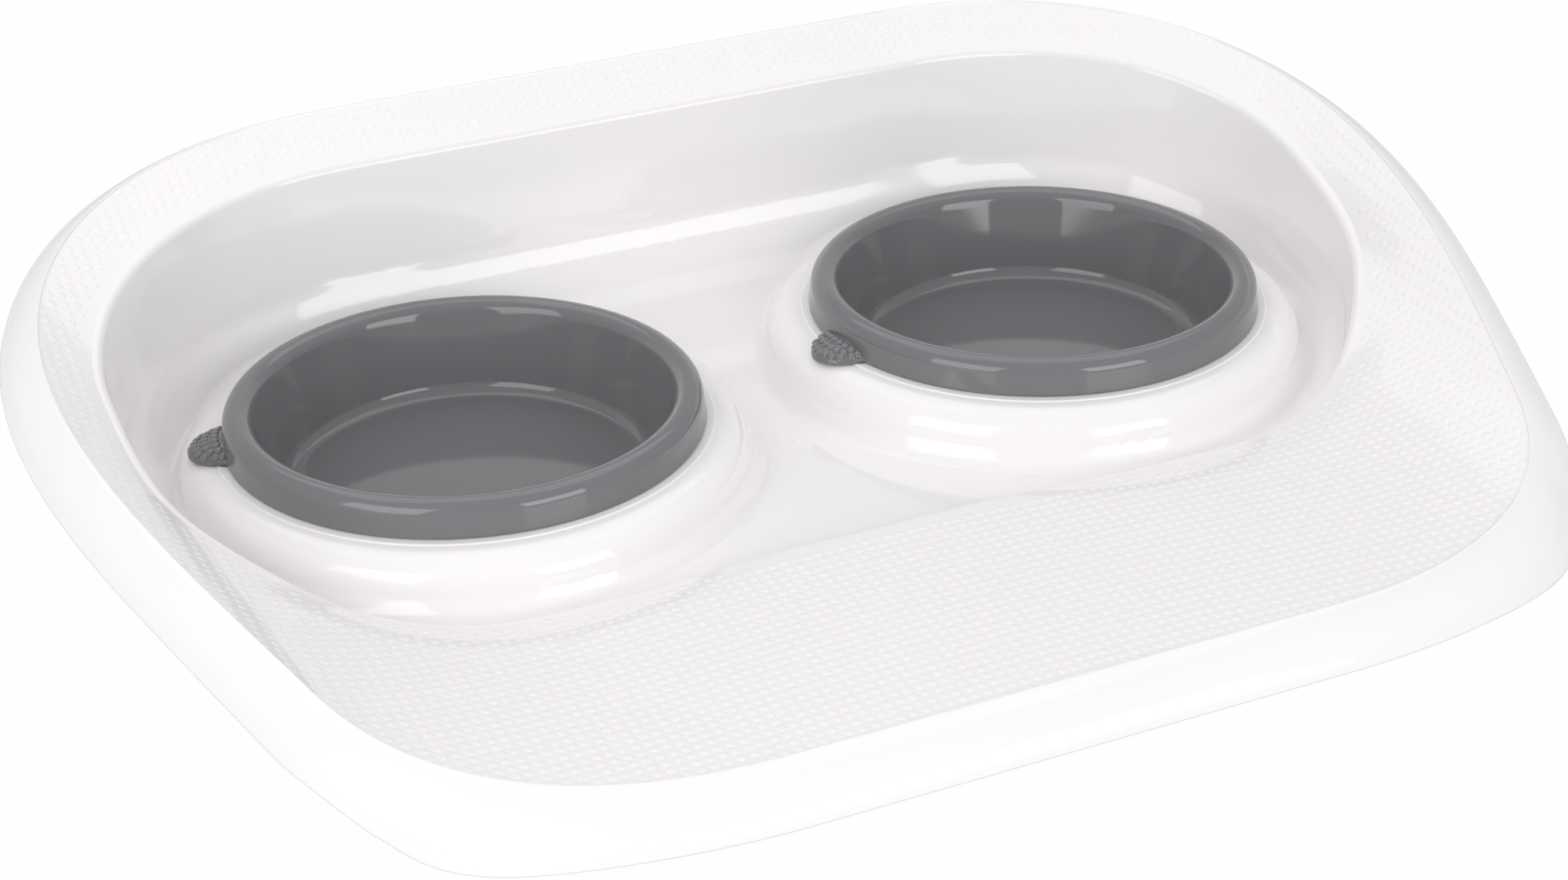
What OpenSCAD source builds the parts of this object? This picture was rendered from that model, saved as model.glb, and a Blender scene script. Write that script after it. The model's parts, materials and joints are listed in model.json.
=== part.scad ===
// Double pet bowl: a raised, dished feeding tray with two lift-out bowls and four rubber feet.
// Millimetres, +Z up, origin on the ground under the middle of the tray, the low front edge towards -Y.

/* [Tray] */
// Width of the tray over its rolled rim
tray_w = 457.6; // [440:1:480]
// Depth of the tray over its rolled rim, front to back
tray_d = 331; // [320:1:350]
// Wall thickness of the moulding
wall_t = 2.4; // [2:0.1:2.8]
// Height of the front mat at the basin's edge
mat_h = 12.5; // [11:0.5:16]
// Height of the rim's crest line at the back
rim_h = 85; // [78:1:95]
// Height of the basin's edge at the back
basin_edge_h = 76; // [70:1:77]
// Height of the basin floor
floor_h = 6.5; // [5.5:0.5:7.5]
// Gap between the ground and the lip
lip_gap = 0.8; // [0.5:0.1:1.2]

/* [Rim] */
// Depth of the front mat
mat_d = 95.7; // [88:1:100]
// Width of the textured flange at the sides
flange_side_w = 14.5; // [12:0.5:17]
// Width of the textured flange at the back
flange_back_w = 20.5; // [16:0.5:24]
// Width of the rolled edge at the sides and back
roll_w = 12.5; // [10:0.5:14]
// Width of the rolled edge along the front
roll_front_w = 14.5; // [12:0.5:16]
// Height of the rolled edge
roll_h = 12.2; // [10:0.1:12.4]
// Height of the small step at the mat's outer edge
step_h = 0.6; // [0.4:0.1:0.9]
// Radius of the basin's top edge
edge_r = 3; // [2.8:0.1:3.5]
// Radius between the basin wall and its floor
fillet_r = 13; // [9:1:15]
// Depth of the dip in the mat in front of each mound
dip_h = 2; // [1:0.25:2.5]

/* [Bowls] */
// Diameter of a bowl over its skirt
bowl_d = 144.4; // [141:0.2:147]
// Distance between the two bowls' axes
bowl_pitch = 193.6; // [188:1:198]
// Distance of the bowls' axes behind the tray's middle
bowl_y = 42; // [38:1:45]
// Height of the ledge that carries a bowl
ledge_h = 23.1; // [22.5:0.1:27]
// Height of a bowl's rim above the ledge
bowl_rise = 10.7; // [9.5:0.1:12.5]
// Wall thickness of a bowl
bowl_t = 2.2; // [1.8:0.1:2.6]
// Height of a bowl's inner floor above the ground
bowl_floor_h = 5.2; // [4.6:0.1:5.6]
// Slope of a bowl's inner wall
bowl_wall_deg = 75; // [65:1:80]
// Direction of the left bowl's lift tab
tab_left_deg = 167; // [150:1:210]
// Direction of the right bowl's lift tab
tab_right_deg = 186; // [150:1:210]

/* [Feet] */
// Diameter of a rubber foot
foot_d = 12; // [11:0.5:12.5]
// Height of the foot's disc below its post
foot_h = 1.6; // [1.2:0.1:2]
// Diameter of the foot's plug
plug_d = 8; // [6:0.5:10]
// Distance between the two front feet
foot_front_pitch = 220; // [160:5:220]
// Distance of the front feet behind the tray's front edge
foot_front_in = 45.5; // [40:0.5:60]
// Direction of the back feet from the bowls' axes, measured from the tray's side
foot_back_deg = 50; // [40:1:60]

/* [Hidden] */
// Seats, running gaps and cut overruns.
seat_gap = 0.3;
plug_gap = 0.1;
over = 2;

// Stations round the tray: segments in each stretch of half an outline.
n_front = 9;
n_corner = 14;
n_side = 8;
n_back = 14;
n_rear = 6;

// Basin edge: half width, front and back lines, and where the corner curve meets the side curve.
in_hw = tray_w / 2 - roll_w - flange_side_w;
in_yf = -tray_d / 2 + roll_front_w + mat_d;
in_yb = tray_d / 2 - roll_w - flange_back_w;
in_taper = 33;
in_line_shares = [0.525, 0.49];
in_turn_shares = [0.944, 0.262];
in_wide_share = 0.56;
in_pull_shares = [0.40, 0.41, 0.34, 0.36, 0.27, 0.52];

// Step line, where the textured mat meets the smooth rolled edge.
st_hw = tray_w / 2 - roll_w;
st_yf = -tray_d / 2 + roll_front_w;
st_yb = tray_d / 2 - roll_w;
st_taper = 18.5;
st_line_shares = [0.37, 0.453];
st_turn_shares = [0.855, 0.191];
st_wide_share = 0.628;
st_pull_shares = [0.37, 0.40, 0.34, 0.32, 0.38, 0.47];

// Heights along the two lines rise from front to back with a slight hump.
in_hump_share = 0.32;
st_hump_share = 0.12;
mat_rise = 0.5;

// Basin wall: its draft, and how much of a low wall its two curves may take.
wall_draft = 1;
low_fillet_share = 0.6;
low_edge_share = 0.35;
fillet_steps = 4;
edge_steps = 3;

// Rings of the flange between the basin edge (0) and the step line (1).
flange_shares = [0, 0.05, 0.11, 0.18, 0.27, 0.5, 0.75, 1];

// Dip in the mat in front of each mound, from the mound's foot outwards.
dip_w = 21;
dip_from_y = 13;
dip_fade = 22;

// Rolled edge: shares of its width and height, and the extra width and drop at the front corners.
roll_shares = [[0.12, 0.03], [0.32, 0.13], [0.54, 0.29], [0.75, 0.5], [0.91, 0.75], [1, 1]];
riser_w = 0.25;
corner_w = 3.2;
corner_w_share = 0.1;
corner_drop = 5.5;
corner_drop_share = 0.158;
front_shares = [0.1, 0.4];

// Rings that the underside keeps, counted from the floor outwards.
under_rings = [0, 1, 3, 4, 5, 8, 10, 12, 13, 15, 18, 20];
thin_rings = [3, 7];
low_wall_share = 0.25;

// Mounds under the bowls.
bowl_r = bowl_d / 2;
ledge_w = 2.5;
ledge_edge = 0.8;
ledge_r = bowl_r + ledge_w;
mound_w = 14.5;
mound_r = ledge_r + mound_w;
mound_pow = 2.3;
mound_steps = 12;
mound_foot_w = 2;
mound_sink = 0.3;
mound_t = 3;
seat_hole_in = 3.2;
clip_front = 5;
clip_wall = 3;
clip_hollow = 6.5;
clip_fade_share = 0.1;

// Bowls: lip, skirt, locating collar, inner floor curve and foot ring.
lip_r = 4.5;
lip_in = 5.2;
skirt_land = 0.7;
skirt_lean_deg = 7.5;
skirt_t = 2;
groove_up = 3.6;
collar_drop = 4;
collar_t = 1.8;
collar_gap = 0.6;
bowl_curve_r = 5;
foot_ring_h = 0.8;
foot_ring_w = 2;
arc_steps = 8;

// Lift tabs.
tab_reach = 10;
tab_half_w = 13;
tab_root = 2.5;
tab_top = 4.2;
tab_tip = 1.5;
tab_dip = 1;
tab_flat = 4;
tab_steps = 24;

// Foot posts.
post_skin = 0.8;
post_bite = 0.2;
post_in = 4;
plug_len = 3.4;

facets = 96;

// Curve helpers. A pull is the length of a handle as a share of the chord.
function bez(a, ta, d, td, ka, kd, t) =
    let(l = norm(d - a), b = a + ta * (l * ka), c = d - td * (l * kd), s = 1 - t)
    a * (s * s * s) + b * (3 * s * s * t) + c * (3 * s * t * t) + d * (t * t * t);
function mix(a, b, t) = a + (b - a) * t;
function ease(t) = let(c = min(max(t, 0), 1)) c * c * (3 - 2 * c);
function bump(t) = (t <= 0 || t >= 1) ? 0 : sin(180 * t);

// Right half of an outline, from the middle of the front to the middle of the back.
function half_line(hw, yf, yb, lines, turn, wide, taper, k) =
    let(len = yb - yf, xf = hw * lines[0], xb = hw * lines[1],
        p = [hw * turn[0], yf + len * turn[1]], tp = [sin(taper), cos(taper)],
        w = [hw, yf + len * wide])
    concat(
        [for (i = [0:n_front - 1]) [xf * i / n_front, yf]],
        [for (i = [0:n_corner - 1]) bez([xf, yf], [1, 0], p, tp, k[0], k[1], i / n_corner)],
        [for (i = [0:n_side - 1]) bez(p, tp, w, [0, 1], k[2], k[3], i / n_side)],
        [for (i = [0:n_back - 1]) bez(w, [0, 1], [xb, yb], [-1, 0], k[4], k[5], i / n_back)],
        [for (i = [0:n_rear]) [xb * (1 - i / n_rear), yb]]);
function whole(h) = concat(h, [for (i = [len(h) - 2:-1:1]) [-h[i][0], h[i][1]]]);
function side_way(p, i) =
    let(n = len(p), d = p[(i + 1) % n] - p[(i + n - 1) % n], l = norm(d)) [d[1] / l, -d[0] / l];

in_line = whole(half_line(in_hw, in_yf, in_yb, in_line_shares, in_turn_shares, in_wide_share,
    in_taper, in_pull_shares));
st_line = whole(half_line(st_hw, st_yf, st_yb, st_line_shares, st_turn_shares, st_wide_share,
    st_taper, st_pull_shares));
count = len(in_line);
cap_from = n_front + n_corner;
stations = [0:count - 1];
in_out = [for (i = stations) side_way(in_line, i)];
st_out = [for (i = stations) side_way(st_line, i)];

// Height of each line at each station.
function rise(y, yf, yb, low, high, hump) =
    let(u = (y - yf) / (yb - yf)) low + (high - low) * (u + hump * u * (1 - u));
in_z = [for (p = in_line) rise(p[1], in_yf, in_yb, mat_h, basin_edge_h, in_hump_share)];
st_z = [for (p = st_line) rise(p[1], st_yf, st_yb, mat_h + mat_rise, rim_h, st_hump_share)];

// Depth of the dip at a place on the mat.
function dip(x, y) =
    let(r = norm([abs(x) - bowl_pitch / 2, y - bowl_y]),
        q = 1 - ease((r - mound_r) / dip_w),
        f = 1 - ease((y - in_yf - dip_from_y) / dip_fade))
    dip_h * q * f;

// Rings of the shell's upper face, each a list of points, from the floor outwards.
function edge_z(i) = in_z[i] - dip(in_line[i][0], in_line[i][1]);
function wall_h(i) = edge_z(i) - floor_h;
function low_r(i) = min(fillet_r, wall_h(i) * low_fillet_share);
function top_r(i) = min(edge_r, wall_h(i) * low_edge_share);
function foot_in(i) = top_r(i) + wall_draft;
function in_pt(i, d, z) = let(p = in_line[i] + in_out[i] * d) [p[0], p[1], z];
function fillet_ring(a) =
    [for (i = stations) let(r = low_r(i))
        in_pt(i, -foot_in(i) - r * (1 - sin(a)), floor_h + r * (1 - cos(a)))];
function edge_ring(a) =
    [for (i = stations) let(r = top_r(i)) in_pt(i, -r * cos(a), edge_z(i) - r * (1 - sin(a)))];
function flange_ring(s) =
    [for (i = stations) let(p = mix(in_line[i], st_line[i], s))
        [p[0], p[1], mix(in_z[i], st_z[i], s) - dip(p[0], p[1])]];
function st_share(i) = (st_line[i][1] - st_yf) / (st_yb - st_yf);
function front_share(i) =
    1 - ease((st_share(i) - front_shares[0]) / (front_shares[1] - front_shares[0]));
function roll_out(i) =
    mix(roll_w, roll_front_w, front_share(i)) + corner_w * bump(st_share(i) / corner_w_share);
function lip_z(i) =
    let(b = bump(st_share(i) / corner_drop_share)) max(lip_gap, st_z[i] - roll_h - corner_drop * b * b);
function roll_ring(s) =
    [for (i = stations) let(p = st_line[i] + st_out[i] * (roll_out(i) * s[0]), t = st_z[i] + step_h)
        [p[0], p[1], mix(t, lip_z(i), s[1])]];
riser_ring = [for (i = stations) let(p = st_line[i] + st_out[i] * riser_w) [p[0], p[1], st_z[i] + step_h]];

inner_rings = concat(
    [for (k = [0:fillet_steps]) fillet_ring(90 * k / fillet_steps)],
    [for (k = [edge_steps:-1:1]) edge_ring(90 - 90 * k / edge_steps)],
    [for (s = flange_shares) flange_ring(s)]);
roll_rings = [for (s = roll_shares) roll_ring(s)];
upper = concat(inner_rings, [riser_ring], roll_rings);
smooth = concat(inner_rings, roll_rings);

// Underside: the smooth rings moved inwards by the wall.
function grid_way(k, i) =
    let(n = len(smooth), a = smooth[min(k + 1, n - 1)][i] - smooth[max(k - 1, 0)][i],
        b = smooth[k][(i + 1) % count] - smooth[k][(i + count - 1) % count], c = cross(a, b))
    c / norm(c);
function wall_at(k, i) =
    (k >= thin_rings[0] && k <= thin_rings[1]) ? min(wall_t, wall_h(i) * low_wall_share) : wall_t;
function under_ring(k) =
    [for (i = stations)
        k == 0 ? smooth[0][i] - [0, 0, wall_t] : smooth[k][i] - grid_way(k, i) * wall_at(k, i)];
lip_inner = [for (i = stations) let(p = smooth[len(smooth) - 1][i], w = st_out[i] * wall_t)
    [p[0] - w[0], p[1] - w[1], p[2]]];
lower = concat([for (k = under_rings) under_ring(k)], [lip_inner]);

module tray_shell() {
    rings = concat(upper, [for (k = [len(lower) - 1:-1:0]) lower[k]]);
    last = len(rings) - 1;
    pts = [for (r = rings) for (p = r) p];
    strips = [for (k = [0:last - 1]) for (i = stations) let(j = (i + 1) % count, a = k * count)
        each [[a + i, a + count + j, a + count + i], [a + i, a + j, a + count + j]]];
    floor_face = [for (i = stations) (cap_from + count - i) % count];
    base_face = [for (i = stations) last * count + (cap_from + i) % count];
    polyhedron(points = pts, faces = concat([floor_face], strips, [base_face]));
}

// Basin outline moved out by d along the front and by e along the sides and back.
function basin_line(d, e) =
    [for (i = stations) let(u = (in_line[i][1] - in_yf) / (in_yb - in_yf))
        in_line[i] + in_out[i] * mix(d, e, ease(u / clip_fade_share))];
module basin_prism(d, e) {
    translate([0, 0, -over]) linear_extrude(rim_h) polygon(basin_line(d, e));
}

// Mound: flat ledge, small edge, convex wall and a small spread at the floor.
function mound_curve(r, w, z, h) =
    [for (k = [0:mound_steps]) let(a = 90 - 90 * k / mound_steps)
        [r + w * pow(cos(a), 2 / mound_pow), z + h * pow(sin(a), 2 / mound_pow)]];
module mound_solid() {
    rotate_extrude($fn = facets) polygon(concat(
        [[0, floor_h - wall_t / 2], [0, ledge_h], [ledge_r - ledge_edge, ledge_h]],
        mound_curve(ledge_r, mound_w, mat_h, ledge_h - mat_h - ledge_edge),
        [[mound_r + mound_foot_w, floor_h - mound_sink], [mound_r + mound_foot_w, floor_h - wall_t / 2]]));
}
module mound_hollow() {
    rotate_extrude($fn = facets) polygon(concat(
        [[0, -over], [0, ledge_h - wall_t]],
        mound_curve(ledge_r, mound_w - mound_t, mat_h, ledge_h - mat_h - wall_t),
        [[mound_r - mound_t, -over]]));
}
module seat_bore() {
    translate([0, 0, ledge_h - wall_t - over])
        cylinder(r = bowl_r - seat_hole_in, h = wall_t + 2 * over, $fn = facets);
}
module at_bowl(side) {
    translate([side * bowl_pitch / 2, bowl_y, 0]) children();
}

// Foot places, posts and plug holes.
post_r = bowl_r + post_in;
front_foot = [foot_front_pitch / 2, -tray_d / 2 + foot_front_in];
back_foot = [bowl_pitch / 2 + post_r * cos(foot_back_deg), bowl_y + post_r * sin(foot_back_deg)];
module at_foot(place, side) {
    translate([side * place[0], place[1], 0]) children();
}
module post(top) {
    translate([0, 0, foot_h]) cylinder(d = foot_d, h = top - foot_h, $fn = facets);
}
module plug_hole() {
    translate([0, 0, foot_h - over])
        cylinder(d = plug_d + 2 * plug_gap, h = over + plug_len + plug_gap, $fn = facets);
}

module tray() color("#f6f3f3") {
    difference() {
        union() {
            difference() {
                union() {
                    tray_shell();
                    for (side = [-1, 1]) intersection() {
                        at_bowl(side) mound_solid();
                        basin_prism(clip_front, -clip_wall);
                    }
                }
                for (side = [-1, 1]) intersection() {
                    at_bowl(side) mound_hollow();
                    basin_prism(0, -clip_hollow);
                }
                for (side = [-1, 1]) at_bowl(side) seat_bore();
            }
            for (side = [-1, 1]) {
                at_foot(front_foot, side) post(mat_h - post_skin);
                at_foot(back_foot, side) post(ledge_h - wall_t + post_bite);
            }
        }
        for (side = [-1, 1]) {
            at_foot(front_foot, side) plug_hole();
            at_foot(back_foot, side) plug_hole();
        }
    }
}

// Bowl section: the lip's circle sets the inner wall, which runs down to the floor curve.
skirt_z = ledge_h + seat_gap;
lip_c = [bowl_r - lip_in, ledge_h + bowl_rise - lip_r];
wall_run = 1 / tan(bowl_wall_deg);
wall_top = lip_c + lip_r * [-sin(bowl_wall_deg), cos(bowl_wall_deg)];
floor_corner_r = wall_top[0] - (wall_top[1] - bowl_floor_h) * wall_run;
floor_curve_c = [floor_corner_r - bowl_curve_r * tan(bowl_wall_deg / 2), bowl_floor_h + bowl_curve_r];
outer_top = wall_top + bowl_t * [sin(bowl_wall_deg), -cos(bowl_wall_deg)];
outer_drop = lip_r - bowl_t / 2;
collar_r = bowl_r - seat_hole_in - collar_gap;
groove_z = ledge_h + groove_up;
skirt_top = lip_c + lip_r * [cos(skirt_lean_deg), sin(skirt_lean_deg)];
skirt_low = [bowl_r, skirt_z + skirt_land];
groove_r = mix(skirt_low[0], skirt_top[0], (groove_z - skirt_low[1]) / (skirt_top[1] - skirt_low[1])) - skirt_t;
function arc(c, r, a, b) = [for (k = [0:arc_steps]) c + r * [cos(mix(a, b, k / arc_steps)), sin(mix(a, b, k / arc_steps))]];
function bowl_section() = concat(
    [[0, bowl_floor_h], [0, bowl_floor_h - bowl_t],
        [floor_curve_c[0] - foot_ring_w, bowl_floor_h - bowl_t],
        [floor_curve_c[0] - foot_ring_w, bowl_floor_h - bowl_t - foot_ring_h],
        [floor_curve_c[0], bowl_floor_h - bowl_t - foot_ring_h]],
    arc(floor_curve_c, bowl_curve_r + bowl_t, -90, bowl_wall_deg - 90),
    [outer_top - outer_drop * [wall_run, 1],
        [collar_r - collar_t, outer_top[1] - outer_drop],
        [collar_r - collar_t, ledge_h - collar_drop], [collar_r, ledge_h - collar_drop],
        [collar_r, groove_z], [groove_r, groove_z],
        [bowl_r - skirt_t, skirt_z], [bowl_r, skirt_z], skirt_low],
    arc(lip_c, lip_r, skirt_lean_deg, 90 + bowl_wall_deg),
    arc(floor_curve_c, bowl_curve_r, bowl_wall_deg - 90, -90));

// Lift tab: a sloping ring cut to a rounded lobe.
module tab_ring() {
    rotate_extrude($fn = facets) polygon([
        [bowl_r - tab_root / 2, skirt_z], [bowl_r + tab_flat, skirt_z],
        [bowl_r + tab_reach, skirt_z - tab_dip], [bowl_r + tab_reach, skirt_z - tab_dip + tab_tip],
        [bowl_r + tab_flat, skirt_z + tab_tip + tab_dip],
        [bowl_r - tab_root / 2, skirt_z + tab_top - tab_dip]]);
}
module tab_lobe() {
    translate([0, 0, skirt_z - over]) linear_extrude(tab_top + 2 * over) polygon(
        [for (k = [0:tab_steps]) let(a = 180 * k / tab_steps - 90)
            [bowl_r - tab_root + (tab_reach + tab_root) * cos(a), tab_half_w * sin(a)]]);
}
module bowl(tab_deg) {
    rotate_extrude($fn = facets) polygon(bowl_section());
    rotate(tab_deg) intersection() {
        tab_ring();
        tab_lobe();
    }
}
module bowl_left() color("#6f6f71") at_bowl(-1) bowl(tab_left_deg);
module bowl_right() color("#6f6f71") at_bowl(1) bowl(tab_right_deg);

module foot() {
    cylinder(d = foot_d, h = foot_h, $fn = facets);
    translate([0, 0, foot_h]) cylinder(d = plug_d, h = plug_len, $fn = facets);
}
module foot_front_left() color("#3a3a3c") at_foot(front_foot, -1) foot();
module foot_front_right() color("#3a3a3c") at_foot(front_foot, 1) foot();
module foot_back_left() color("#3a3a3c") at_foot(back_foot, -1) foot();
module foot_back_right() color("#3a3a3c") at_foot(back_foot, 1) foot();

tray();
bowl_left();
bowl_right();
foot_front_left();
foot_front_right();
foot_back_left();
foot_back_right();
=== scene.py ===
"""Looks of the double pet bowl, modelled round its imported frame.

The tray is a glossy white moulding whose rim and front mat carry a lattice of low raised dots.
Two grey bowls with small lift tabs sit on its mounds, and four rubber feet stand under it.
Lengths are in millimetres, in the frame's own axes, until a mesh takes its places in metres.
"""

from __future__ import annotations

import json
import logging
import math
from collections.abc import Sequence
from dataclasses import dataclass
from enum import Enum

import bmesh
import bpy
import numpy as np
from mathutils import Matrix, Vector
from mathutils.bvhtree import BVHTree

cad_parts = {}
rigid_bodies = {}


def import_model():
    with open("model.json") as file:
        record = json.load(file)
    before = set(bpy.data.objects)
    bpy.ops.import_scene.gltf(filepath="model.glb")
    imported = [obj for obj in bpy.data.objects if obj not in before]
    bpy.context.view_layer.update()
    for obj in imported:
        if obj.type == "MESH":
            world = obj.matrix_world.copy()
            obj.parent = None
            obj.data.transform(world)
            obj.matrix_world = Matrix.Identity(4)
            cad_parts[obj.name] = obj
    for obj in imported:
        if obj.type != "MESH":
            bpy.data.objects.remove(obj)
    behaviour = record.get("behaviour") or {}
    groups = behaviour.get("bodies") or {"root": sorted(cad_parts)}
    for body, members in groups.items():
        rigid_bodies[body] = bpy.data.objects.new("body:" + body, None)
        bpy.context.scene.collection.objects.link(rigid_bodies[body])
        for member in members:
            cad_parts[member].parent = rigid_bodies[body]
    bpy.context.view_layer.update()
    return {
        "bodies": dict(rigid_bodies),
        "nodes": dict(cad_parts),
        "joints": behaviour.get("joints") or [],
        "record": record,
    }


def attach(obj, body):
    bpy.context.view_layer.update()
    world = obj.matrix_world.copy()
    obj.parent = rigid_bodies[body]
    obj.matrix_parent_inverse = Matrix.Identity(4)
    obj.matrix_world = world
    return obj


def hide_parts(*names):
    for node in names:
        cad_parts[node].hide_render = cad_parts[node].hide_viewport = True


Array = np.ndarray
Pair = tuple[float, float]
Piece = bpy.types.Object
Node = bpy.types.Node
Socket = bpy.types.NodeSocket
Tree = bpy.types.NodeTree
LOG = logging.getLogger("double_pet_bowl")
MM = 0.001
TINY = 1e-9
# The right bowl's axis in plan, and the height of the ledge that its skirt stands on.
SEAT = (96.8, 42.0)
LEDGE_HEIGHT = 23.1

# Degrees round the ledge's edge, from its flat top outwards.
LEDGE_TURN_DEG = (0, 22, 45, 68, 86)
# Places of the floor's first rings, in millimetres past a mound.
FLOOR_STEPS = (0.5, 1.0, 1.5, 2.1, 2.8, 3.7, 5.0, 6.5)
# Shares of the way up the basin's wall.
WALL_SHARES = (0.08, 0.25, 0.5, 0.75, 1)
# Degrees round the basin's edge, from the wall to the mat.
EDGE_TURN_DEG = (15, 30, 45, 60, 75, 90)
# Shares of the way over the mat and the rim, closest together beside the basin.
MAT_SHARES = (0.004, 0.009, 0.016, 0.026, 0.04, 0.06, 0.085, 0.115, 0.15, 0.19, 0.235, 0.285,
              0.34, 0.41, 0.5, 0.6, 0.7, 0.8, 0.9, 0.96, 1)
# The step where the texture ends: millimetres outwards and up.
STEP_SECTION = ((0.04, 0.12), (0.1, 0.42), (0.22, 0.56), (0.4, 0.6))
# The rolled edge: shares of its width and of its drop.
ROLL_SHARES = ((0, 0), (0.12, 0.03), (0.32, 0.13), (0.54, 0.29), (0.75, 0.5), (0.91, 0.75), (1, 1))
# The gate mark: shares of its radius, and heights.
GATE_SECTION = ((1, -0.4), (1, 0.08), (0.93, 0.2), (0.8, 0.26), (0.4, 0.24))
# One scale of a lift tab: radius and height.
SCALE_SECTION = ((1.42, -0.5), (1.36, 0.18), (1.1, 0.46), (0.6, 0.62))


class Side(Enum):
    """Which of the two seats a piece belongs to, as the sign of its X."""

    LEFT = -1
    RIGHT = 1


class Body(Enum):
    """The frame's moving bodies."""

    TRAY = "tray_body"
    LEFT_BOWL = "left_bowl_body"
    RIGHT_BOWL = "right_bowl_body"


class Slot(Enum):
    """The record's material slots."""

    TRAY = "tray"
    BOWL = "bowl"
    FOOT = "foot"


def ease(t: Array) -> Array:
    """A share eased in and out between 0 and 1."""
    c = np.clip(t, 0, 1)
    return c * c * (3 - 2 * c)


def soft_max(a: Array, b: Array, reach: float) -> Array:
    """The higher of two heights, with a fillet that ends where they differ by its reach."""
    h = np.clip(reach - np.abs(a - b), 0, None) / reach
    return np.maximum(a, b) + h * h * reach / 4


def bezier(
    a: Array, start: Array, d: Array, end: Array, pull_a: float, pull_d: float, t: Array,
) -> Array:
    """Points on a cubic curve between two places with given directions.

    Args:
        a: The first place.
        start: The direction there.
        d: The last place.
        end: The direction there.
        pull_a: Length of the first handle, as a share of the chord.
        pull_d: Length of the last one.
        t: One parameter from 0 to 1 for each point.
    """
    chord = np.linalg.norm(d - a)
    b, c = a + start * chord * pull_a, d - end * chord * pull_d
    t = t[:, None]
    s = 1 - t
    return a * s**3 + b * 3 * s * s * t + c * 3 * s * t * t + d * t**3


def through(points: Sequence[Pair], steps: int) -> list[Pair]:
    """A smooth run through given places, in steps between them, without the first of them."""
    p = [np.array(q, float) for q in points]
    p = [2 * p[0] - p[1], *p, 2 * p[-1] - p[-2]]
    run = []
    for a, b, c, d in zip(p, p[1:], p[2:], p[3:], strict=False):
        for k in range(1, steps + 1):
            t = k / steps
            q = 0.5 * (2 * b + (c - a) * t + (2 * a - 5 * b + 4 * c - d) * t * t
                       + (3 * b - a - 3 * c + d) * t**3)
            run.append((float(q[0]), float(q[1])))
    return run


def arc(centre: Pair, radius: float, start: float, end: float, count: int) -> list[Pair]:
    """Places on an arc, its angles in degrees."""
    return [(centre[0] + radius * math.cos(t), centre[1] + radius * math.sin(t))
            for t in np.radians(np.linspace(start, end, count))]


def between(a: Pair, b: Pair, shares: Sequence[float]) -> list[Pair]:
    """Places at given shares of the straight way between two."""
    start, way = np.array(a), np.array(b) - a
    return [tuple(start + way * s) for s in shares]


def clear_selection() -> None:
    """Leaves edit mode and deselects every object."""
    if bpy.context.object and bpy.context.object.mode != "OBJECT":
        bpy.ops.object.mode_set(mode="OBJECT")
    bpy.ops.object.select_all(action="DESELECT")


def take(piece: Piece) -> None:
    """Makes one object the only selected and active one."""
    clear_selection()
    piece.select_set(True)
    bpy.context.view_layer.objects.active = piece


def join(piece: Piece, others: Sequence[Piece]) -> None:
    """Takes other pieces into one."""
    take(piece)
    for other in others:
        other.select_set(True)
    bpy.ops.object.join()


def put(name: str, data: bpy.types.ID) -> Piece:
    """Puts new data into the scene as an object."""
    piece = bpy.data.objects.new(name, data)
    bpy.context.scene.collection.objects.link(piece)
    return piece


def apply_modifier(piece: Piece, kind: str, **settings: object) -> None:
    """Adds a modifier of a kind to a piece, with its settings, and applies it."""
    take(piece)
    mod = piece.modifiers.new(kind.lower(), kind)
    for key, value in settings.items():
        setattr(mod, key, value)
    bpy.ops.object.modifier_apply(modifier=mod.name)


def close_up(piece: Piece, merge: float = 0.002, angle: float = 34.0) -> None:
    """Merges doubles, turns the faces outwards and shades the piece smooth.

    Args:
        piece: The piece.
        merge: Distance under which points merge, in millimetres.
        angle: Edges sharper than this many degrees stay sharp.
    """
    take(piece)
    bpy.ops.object.mode_set(mode="EDIT")
    bpy.ops.mesh.select_all(action="SELECT")
    bpy.ops.mesh.remove_doubles(threshold=merge * MM)
    bpy.ops.mesh.normals_make_consistent(inside=False)
    bpy.ops.object.mode_set(mode="OBJECT")
    bpy.ops.object.shade_smooth_by_angle(angle=math.radians(angle))


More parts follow.
